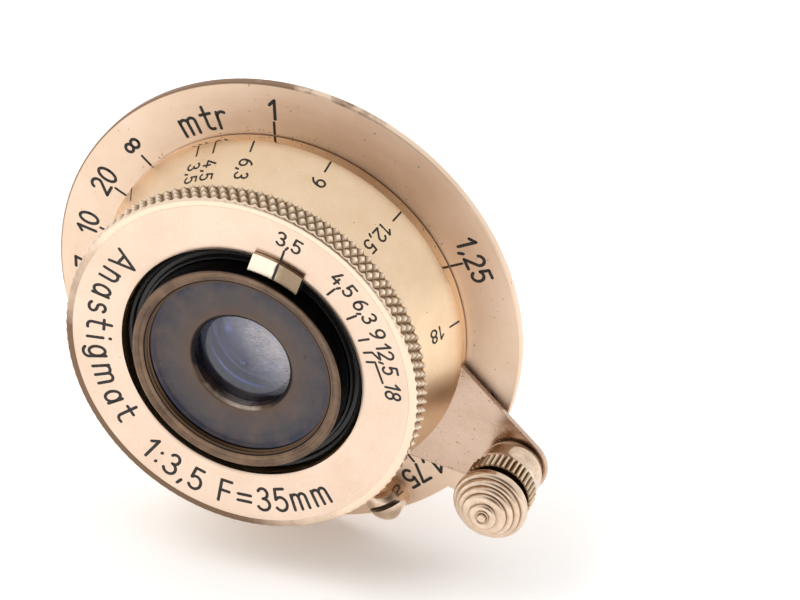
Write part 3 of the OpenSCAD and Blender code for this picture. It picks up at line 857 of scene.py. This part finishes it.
def knurl_nickel():
    """Face, land and knurling in one: the knurl's valleys are darkened brown with tarnish and
    painted shade, and the land's lower left with painted shade.
    """
    nodes = Nodes("nickel_knurl")
    marks = lathe_streaks(nodes)
    clouds = nodes.noise(0.16)
    face = nodes.mix(nodes.fade(clouds, 0.38, 0.66), (0.86, 0.665, 0.53), (0.80, 0.605, 0.47))
    face = nodes.mix(0.45, face, nodes.ramp(marks, (0.3, 0.88), (0.7, 1.0)), "MULTIPLY")
    specks = nodes.ramp(nodes.noise(2.6, 2.0, 0.5), (0.77, 0), (0.8, 0.8))
    face = nodes.mix(specks, face, BROWN_SPECK)
    # tarnish and painted shade darken the valleys, which lie nearer the axis than the crests
    depth = nodes.times(nodes.minus(nodes.radius, FRONT_R - KNURL_DEPTH), 1 / KNURL_DEPTH)
    valley_shade_and_tarnish, slope, crest = (0.16, 0.10, 0.055), (0.46, 0.34, 0.23), (0.9, 0.77, 0.62)
    beads_shaded = nodes.ramp(depth, (0.0, valley_shade_and_tarnish), (0.35, slope), (0.8, crest))
    outside_face = nodes.fade(nodes.minus(nodes.radius, FACE_OUT_R), 0.03, 0.06)
    shrink = 0.05
    land_low, land_high = (FRONT_TOP - 0.3) * shrink, (FRONT_TOP - 0.2) * shrink
    on_land = nodes.fade(nodes.times(nodes.y, -shrink), land_low, land_high)
    # painted shade: the land turns dark brown at its lower left, which faces down and lies in its
    # own shade
    towards = nodes.times(nodes.plus(nodes.x, nodes.z), -0.0175)
    shade_side = nodes.plus(towards, nodes.times(clouds, 0.4))
    land = nodes.ramp(shade_side, (0.25, (0.88, 0.69, 0.53)), (0.5, (0.20, 0.125, 0.08)))
    colour = nodes.mix(outside_face, face, nodes.mix(on_land, beads_shaded, land))
    face_rough = nodes.ramp(marks, (0.25, 0.22), (0.75, 0.36))
    nodes.finish(colour, 1.0, nodes.mix(outside_face, face_rough, (0.24, 0.24, 0.24)))
    nodes.bump(marks, 0.2)
    return nodes.material


def polished_nickel(name, open_at, tarnish_and_shade_colour):
    """Bright nickel with tarnish and painted shade in its corners, where less than open_at of the
    sky shows.
    """
    nodes = Nodes(name)
    clouds = nodes.noise(0.8)
    inputs = {"Distance": 0.7 * MM}
    sky = nodes.add("ShaderNodeAmbientOcclusion", inputs, samples=8, only_local=True)
    # painted shade and tarnish darken the corners that see little sky
    corner = nodes.ramp(sky.outputs["AO"], (open_at - 0.22, 0.95), (open_at + 0.2, 0.0))
    colour = nodes.mix(nodes.fade(clouds, 0.4, 0.7), (0.78, 0.61, 0.47), (0.62, 0.46, 0.33))
    colour = nodes.mix(corner, colour, tarnish_and_shade_colour)
    nodes.finish(colour, 1.0, nodes.ramp(clouds, (0.3, 0.14), (0.7, 0.26)))
    nodes.bump(nodes.noise(5.0, 3.0, 0.5), 0.08)
    return nodes.material


def collar_nickel():
    """The knob's collar: bright on its foot, with brown valleys between the serrations, darkened as
    tarnish and painted shade.
    """
    nodes = Nodes("nickel_collar")
    side = nodes.minus(nodes.x, KNOB_AXIS.x / MM)
    rise = nodes.minus(nodes.z, KNOB_AXIS.z / MM)
    valley_r = COLLAR_R - SERRATION_DEPTH
    depth = nodes.times(nodes.minus(nodes.distance(side, rise), valley_r), 1 / SERRATION_DEPTH)
    # tarnish and painted shade darken the valleys between the serrations
    valley_shade_and_tarnish, slope, crest = (0.13, 0.08, 0.04), (0.36, 0.25, 0.15), (0.80, 0.64, 0.48)
    band = nodes.ramp(depth, (0.1, valley_shade_and_tarnish), (0.5, slope), (0.95, crest))
    clouds = nodes.noise(0.8)
    foot = nodes.mix(nodes.fade(clouds, 0.4, 0.7), (0.78, 0.62, 0.48), (0.56, 0.40, 0.26))
    height = nodes.times(nodes.y, -0.1)
    seam = nodes.ramp(height, (0.300, 1), (0.318, 0))
    foot = nodes.mix(seam, foot, (0.07, 0.04, 0.02))
    colour = nodes.mix(nodes.fade(height, 0.612, 0.622), foot, band)
    nodes.finish(colour, 1.0, nodes.ramp(clouds, (0.3, 0.12), (0.7, 0.24)))
    nodes.bump(nodes.noise(5.0, 3.0, 0.5), 0.08)
    return nodes.material


def turned_brass():
    """Bare brass with turning marks and a brown patina."""
    nodes = Nodes("brass_turned")
    marks = lathe_streaks(nodes, 6.0, 0.04)
    clouds = nodes.fade(nodes.noise(0.3), 0.35, 0.7)
    colour = nodes.mix(clouds, (0.72, 0.52, 0.24), (0.5, 0.33, 0.14))
    nodes.finish(colour, 1.0, nodes.ramp(marks, (0.3, 0.24), (0.7, 0.42)))
    nodes.bump(marks, 0.3, 0.00003)
    return nodes.material


def black_enamel():
    """Satin black, a little dusty."""
    nodes = Nodes("enamel_black")
    dust = nodes.noise(3.0, 4.0, 0.7)
    colour = nodes.mix(nodes.fade(dust, 0.55, 0.85), (0.012, 0.011, 0.011), (0.06, 0.05, 0.045))
    nodes.finish(colour, 0.0, nodes.ramp(dust, (0.3, 0.3), (0.7, 0.45)))
    nodes.bump(lathe_streaks(nodes, 7.0, 0.05), 0.2)
    return nodes.material


def bronze_lacquer():
    """Brown-black lacquer worn to bronze on the front edge, nearly black on the walls."""
    nodes = Nodes("bronze_worn")
    marks = lathe_streaks(nodes, 7.0, 0.05)
    clouds = nodes.noise(0.35, 5.0, 0.65)
    wear = nodes.plus(nodes.times(marks, 0.5), nodes.times(clouds, 0.5))
    worn = nodes.mix(nodes.fade(wear, 0.4, 0.66), (0.085, 0.055, 0.042), (0.27, 0.175, 0.11))
    # across runs from 0 at a radius of 9 mm to 1 at 11 mm
    across = nodes.times(nodes.minus(nodes.radius, 9.0), 0.5)
    black, line = (0.008, 0.006, 0.006), (0.16, 0.095, 0.05)
    rings = [(0.10, black), (0.135, line), (0.165, black), (0.19, line), (0.225, black)]
    colour = nodes.mix(nodes.fade(across, 0.27, 0.31), nodes.ramp(across, *rings), worn)
    colour = nodes.mix(nodes.fade(across, 0.80, 0.82), colour, black)
    nodes.finish(colour, 0.85, nodes.ramp(marks, (0.3, 0.24), (0.7, 0.40)))
    nodes.bump(marks, 0.25)
    return nodes.material


def plate_finish():
    """The front plate: blue-grey outside, brown towards the glass, worn at the hole's lip."""
    nodes = Nodes("plate_oxide")
    # outward is 1 at a radius of 10 mm
    outward = nodes.times(nodes.radius, 0.1)
    base = nodes.ramp(
        outward,
        (0.53, (0.115, 0.078, 0.06)),
        (0.60, (0.10, 0.078, 0.072)),
        (0.72, (0.085, 0.076, 0.078)),
        (0.84, (0.068, 0.064, 0.074)),
        (0.90, (0.045, 0.048, 0.075)),
    )
    clouds = nodes.noise(0.4)
    browning = nodes.ramp(clouds, (0.42, 0), (0.66, 0.6))
    colour = nodes.mix(browning, base, (0.13, 0.098, 0.085))
    spots = nodes.ramp(nodes.noise(1.3, 2.0, 0.5), (0.72, 0), (0.78, 0.5))
    colour = nodes.mix(spots, colour, (0.04, 0.032, 0.03))
    # the lip of the hole: dark, with bright metal showing on its lower side
    lip = nodes.ramp(outward, (0.485, 1), (0.512, 1), (0.528, 0))
    low_side = nodes.minus(nodes.times(nodes.z, -0.1), nodes.times(nodes.x, 0.02))
    wear = nodes.plus(low_side, nodes.times(clouds, 0.4))
    dark, brown, bright = (0.012, 0.009, 0.008), (0.12, 0.075, 0.05), (0.62, 0.52, 0.42)
    colour = nodes.mix(lip, colour, nodes.ramp(wear, (0.45, dark), (0.6, brown), (0.74, bright)))
    marks = lathe_streaks(nodes, 4.0, 0.05)
    nodes.finish(colour, 0.85, nodes.ramp(marks, (0.3, 0.3), (0.7, 0.44)))
    nodes.bump(marks, 0.15)
    return nodes.material


def blackened():
    """Matt blackened brass inside the lens."""
    nodes = Nodes("brass_blackened")
    clouds = nodes.noise(0.6)
    colour = nodes.mix(nodes.fade(clouds, 0.4, 0.7), (0.02, 0.018, 0.016), (0.05, 0.036, 0.026))
    nodes.finish(colour, 0.3, nodes.ramp(clouds, (0.3, 0.5), (0.7, 0.65)))
    nodes.bump(lathe_streaks(nodes, 5.0, 0.05), 0.2)
    return nodes.material


def ink_fill():
    """Black filling of the engraving."""
    nodes = Nodes("engraving_black")
    wear = nodes.noise(4.0, 3.0, 0.6)
    colour = nodes.mix(nodes.fade(wear, 0.5, 0.8), (0.010, 0.008, 0.007), (0.05, 0.035, 0.025))
    nodes.finish(colour, 0.0, 0.55)
    nodes.bump(wear, 0.2)
    return nodes.material


def spring_wire():
    """Drawn steel wire."""
    nodes = Nodes("spring_wire")
    marks = nodes.noise(6.0, 3.0, 0.5)
    nodes.finish(nodes.ramp(marks, (0.3, 0.35), (0.7, 0.55)), 1.0, 0.3)
    nodes.bump(marks, 0.1, 0.00001)
    return nodes.material


def verdigris():
    """Crusty green and olive corrosion."""
    nodes = Nodes("verdigris")
    mottle = nodes.noise(3.0, 3.0, 0.6)
    colour = nodes.mix(nodes.fade(mottle, 0.42, 0.58), (0.22, 0.20, 0.05), (0.06, 0.13, 0.06))
    nodes.finish(colour, 0.0, 0.8)
    nodes.bump(mottle, 0.5, 0.00005)
    return nodes.material


def lens_glass(name, haze_low, haze_high):
    """Uncoated glass with a haze of fine cleaning marks, thickest at its upper right.
    haze_low and haze_high are the shares of light that the haze stops."""
    nodes = Nodes(name)
    inputs = {"Vector": nodes.vector, "Rotation": (0, 0.6, 0), "Scale": (0.8, 1, 3.2)}
    wiped = nodes.add("ShaderNodeMapping", inputs).outputs[0]
    scuffs = nodes.noise(3.4, 6.0, 0.75, wiped)
    mixed = nodes.plus(nodes.times(scuffs, 0.7), nodes.times(nodes.noise(0.5, 4.0), 0.3))
    side = nodes.plus(nodes.times(nodes.x, 0.075), nodes.times(nodes.z, 0.055))
    amount = nodes.plus(mixed, side)
    clear = nodes.ramp(amount, (0.52, 1 - haze_low), (1.0, 1 - haze_high))
    nodes.feed(nodes.shader.inputs["Transmission Weight"], clear)
    nodes.shader.inputs["IOR"].default_value = 1.55
    haze = nodes.ramp(amount, (0.4, (0.55, 0.60, 0.85)), (0.8, (0.85, 0.80, 0.82)))
    nodes.finish(haze, 0.0, nodes.ramp(scuffs, (0.3, 0.03), (0.7, 0.12)))
    return nodes.material


def floor_paper():
    """White paper that glows a little, so the lens throws only a faint shadow on it."""
    nodes = Nodes("floor_paper")
    fibre = nodes.noise(0.9, 3.0, 0.5)
    nodes.finish(nodes.ramp(fibre, (0.3, 0.93), (0.7, 0.95)), 0.0, 0.9)
    nodes.shader.inputs["Emission Color"].default_value = (1, 1, 1, 1)
    nodes.shader.inputs["Emission Strength"].default_value = 0.13
    return nodes.material


def dress(names, material):
    """Gives CAD nodes a material."""
    for name in names:
        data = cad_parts[name].data
        data.materials.clear()
        data.materials.append(material)


def specks(material):
    """Small crusts of verdigris on the disc, most of them along the foot of the cone."""
    rng = random.Random(7)
    sides, sunk = 7, 0.01
    points, faces = [], []
    spots = [(rng.uniform(18.8, 19.3), rng.gauss(92, 15)) for _ in range(26)]
    spots += [(rng.uniform(18.8, 19.2), rng.gauss(42, 5)) for _ in range(7)]
    spots += [(rng.uniform(18.9, 23), rng.uniform(-10, 150)) for _ in range(9)]
    for radius, degrees in spots:
        size = rng.uniform(0.035, 0.11)
        base = len(points)
        for k in range(sides):
            a = 2 * math.pi * k / sides
            wide = size * rng.uniform(0.6, 1.2)
            middle = place(radius, degrees, DISC_TOP - sunk)
            points.append(middle + Vector((wide * math.cos(a), 0, wide * math.sin(a))) * MM)
        points.append(place(radius, degrees, DISC_TOP + size * 0.5))
        points.append(place(radius, degrees, DISC_TOP - 2 * sunk))
        faces += [(base + k, base + (k + 1) % sides, base + sides) for k in range(sides)]
        faces += [(base + (k + 1) % sides, base + k, base + sides + 1) for k in range(sides)]
    piece = mesh_object("verdigris_specks", points, faces, 180)
    piece.data.materials.append(material)
    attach(piece, "mount")


# ---------------------------------------------------------------- scene


def direction(azimuth, elevation):
    """Unit vector from the lens towards a camera or a lamp."""
    a, e = math.radians(azimuth), math.radians(elevation)
    return Vector((math.sin(a) * math.cos(e), -math.cos(a) * math.cos(e), math.sin(e)))


def camera():
    """A long lens that looks from the front, right and above."""
    data = bpy.data.cameras.new("camera")
    data.lens = CAMERA_LENS
    data.sensor_width = SENSOR_WIDTH
    data.clip_start, data.clip_end = 0.01, 50
    holder = bpy.data.objects.new("camera", data)
    back = direction(CAMERA_AZIMUTH, CAMERA_ELEVATION)
    holder.location = LOOK_AT + back * CAMERA_DISTANCE
    holder.rotation_euler = (-back).to_track_quat("-Z", "Y").to_euler()
    bpy.context.scene.collection.objects.link(holder)
    bpy.context.scene.camera = holder


def floor():
    """A wide sheet of paper under the lens."""
    half = 2.0
    corners = [(x * half, y * half, cad_low.z) for x, y in ((-1, -1), (1, -1), (1, 1), (-1, 1))]
    piece = mesh_object("floor", corners, [(0, 1, 2, 3)])
    piece.data.materials.append(floor_paper())


def lamp(name, azimuth, elevation, distance, size, power, colour=(1, 1, 1)):
    """A soft lamp that lights the lens but doesn't show in its plating."""
    data = bpy.data.lights.new(name, "AREA")
    data.shape = "RECTANGLE"
    data.size, data.size_y = size
    data.energy = power
    data.color = colour
    holder = bpy.data.objects.new(name, data)
    way = direction(azimuth, elevation)
    holder.location = way * distance
    holder.visible_glossy = False
    holder.rotation_euler = (-way).to_track_quat("-Z", "Y").to_euler()
    bpy.context.scene.collection.objects.link(holder)


def studio():
    """A white tent: bright above, with a darker opening towards the photographer."""
    world = bpy.data.worlds.new("studio")
    world.use_nodes = True
    nodes, link = world.node_tree.nodes, world.node_tree.links.new
    bright, dim = (1.0, 0.99, 0.98, 1), (0.16, 0.13, 0.11, 1)
    sky = nodes["Background"]
    where = nodes.new("ShaderNodeTexCoord").outputs["Generated"]
    dot = nodes.new("ShaderNodeVectorMath")
    dot.operation = "DOT_PRODUCT"
    dot.inputs[1].default_value = direction(CAMERA_AZIMUTH, CAMERA_ELEVATION)
    link(where, dot.inputs[0])
    ramp = nodes.new("ShaderNodeValToRGB")
    for element, position, colour in zip(ramp.color_ramp.elements, (0.72, 0.97), (bright, dim)):
        element.position, element.color = position, colour
    link(dot.outputs["Value"], ramp.inputs[0])
    link(ramp.outputs[0], sky.inputs["Color"])
    sky.inputs["Strength"].default_value = 1.0
    bpy.context.scene.world = world
    lamp("key", -60, 55, distance=0.7, size=(0.5, 0.5), power=2.2, colour=(1.0, 0.98, 0.95))
    lamp("fill", 110, 40, distance=0.8, size=(0.5, 0.4), power=1.2)
    bpy.context.scene.view_settings.view_transform = "Standard"
    bpy.context.scene.view_settings.exposure = 0.0


def lens():
    """Builds the visual pieces and dresses the CAD nodes that stay."""
    ink = ink_fill()
    bright = polished_nickel("nickel_bright", 0.74, (0.17, 0.10, 0.055))
    screw = polished_nickel("nickel_screw", 0.62, (0.012, 0.008, 0.006))
    brass = turned_brass()
    black = black_enamel()
    dark = blackened()
    pieces = [(front_ring(), knurl_nickel()), (depth_ring(), cone_nickel())]
    pieces += [(focus_lever(), lever_nickel()), (knob_collar(), collar_nickel())]
    pieces += [(lock_button(), bright), (button_spring(), spring_wire())]
    for piece, material in pieces:
        piece.data.materials.append(material)
    distance_engraving(ink)
    depth_engraving(ink)
    face_engraving(ink)
    tab_engraving(ink)
    specks(verdigris())
    dress(["distance_disc", "mount_tube"], disc_nickel())
    dress(["end_stop_screw", "flange_screws", "key_screw", "lever_screws"], screw)
    dress(["latch_pin", "aperture_drive_screw"], bright)
    dress(["aperture_tab"], tab_nickel())
    dress(["guide_key", "rangefinder_cam_ring", "helicoid_barrel", "cam_retainer"], brass)
    dress(["aperture_ring"], black)
    dress(["front_bezel"], bronze_lacquer())
    dress(["front_cell"], plate_finish())
    dress(["head_tube", "head_lock_ring", "iris_base", "iris_drive_ring", "middle_cell"], dark)
    dress(["rear_cell", "rear_retainer"] + [f"iris_blade_{i}" for i in range(1, 7)], dark)
    dress(["front_element"], lens_glass("glass_front", 0.015, 0.62))
    inner_glass = lens_glass("glass_inner", 0.0, 0.02)
    dress(["middle_element", "rear_inner_element", "rear_outer_element"], inner_glass)


camera()
floor()
studio()
lens()
